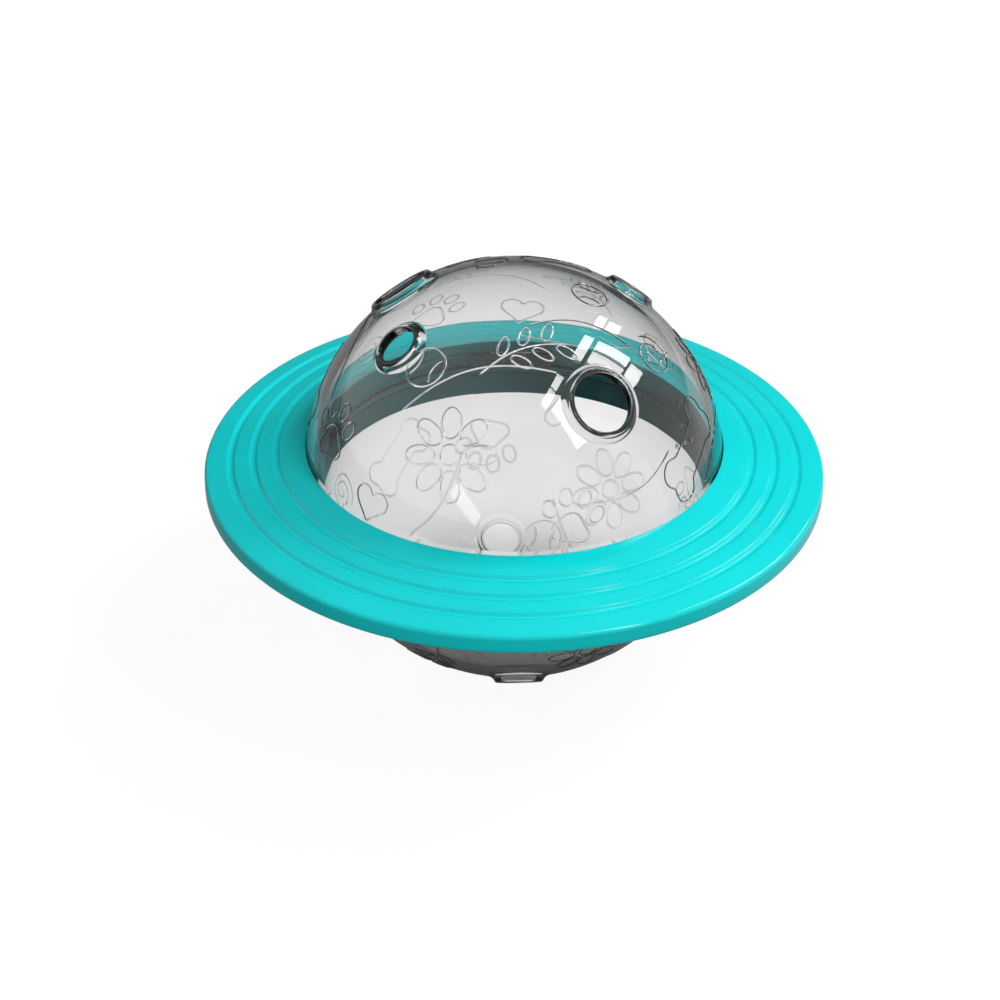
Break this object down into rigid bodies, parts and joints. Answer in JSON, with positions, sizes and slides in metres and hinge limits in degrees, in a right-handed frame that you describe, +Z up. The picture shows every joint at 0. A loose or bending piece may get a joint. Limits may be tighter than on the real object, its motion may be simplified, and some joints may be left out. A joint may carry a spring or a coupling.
{
  "type": "treat dispensing dog toy",
  "caption": "Clear treat ball of two shells that twist together through a teal saucer ring with grooved faces, with flared treat holes.",
  "frame": {"origin": "centre of the flat under the lower shell, on the surface the toy stands on", "axes": "+Z up along the ball's axis through the ring, -Y towards the picture's camera, +X to its right"},
  "size_m": [0.1768, 0.1768, 0.1203],
  "materials": {
    "clear_shell": "clear, faintly grey, polished plastic",
    "teal_ring": "opaque teal, moulded, softly glossy"
  },
  "bodies": {
    "bowl": {"lower_shell": "clear_shell"},
    "ring": {"saucer_ring": "teal_ring"},
    "dome": {"upper_shell": "clear_shell"}
  },
  "joints": [
    {"name": "lock", "type": "hinge", "parent": "bowl", "child": "ring", "pos_m": [0, 0, 0.05982], "axis": [0, 0, -1], "range_deg": [0, 24]},
    {"name": "lift", "type": "slide", "parent": "ring", "child": "dome", "axis": [0, 0, 1], "range_m": [0, 0.075]}
  ]
}
